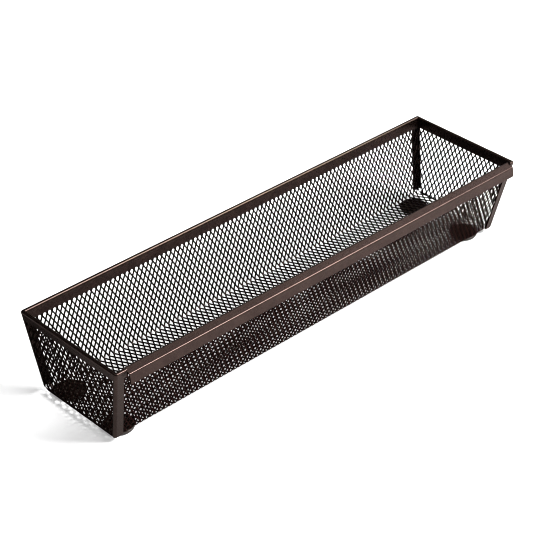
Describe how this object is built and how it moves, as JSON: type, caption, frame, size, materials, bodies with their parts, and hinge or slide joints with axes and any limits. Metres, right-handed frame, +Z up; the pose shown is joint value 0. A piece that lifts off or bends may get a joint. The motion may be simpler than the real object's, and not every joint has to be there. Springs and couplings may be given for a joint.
{
  "type": "drawer organizer insert",
  "caption": "Long tapered wire-mesh drawer tray with folded steel rims, a hook lip along one side that clips over a neighbouring tray, and low round feet.",
  "frame": {"origin": "under the middle of the tray's whole box, hook lip included, on the surface that the feet stand on", "axes": "+X along the tray's long side, +Z up, -Y towards the side that carries the hook lip"},
  "size_m": [0.3048, 0.08, 0.0508],
  "materials": {
    "mesh": "satin dark bronze powder coat on expanded steel mesh",
    "trim": "satin bronze metallic powder coat",
    "foot": "satin bronze moulded plastic"
  },
  "bodies": {
    "root": {"mesh_trough": "mesh", "end_panel_left": "mesh", "end_panel_right": "mesh", "rim_back": "trim", "rim_left": "trim", "rim_right": "trim", "hook_lip": "trim", "corner_strip_front_left": "trim", "corner_strip_front_right": "trim", "corner_strip_back_left": "trim", "corner_strip_back_right": "trim", "foot_front_left": "foot", "foot_front_right": "foot", "foot_back_left": "foot", "foot_back_right": "foot"}
  },
  "joints": []
}
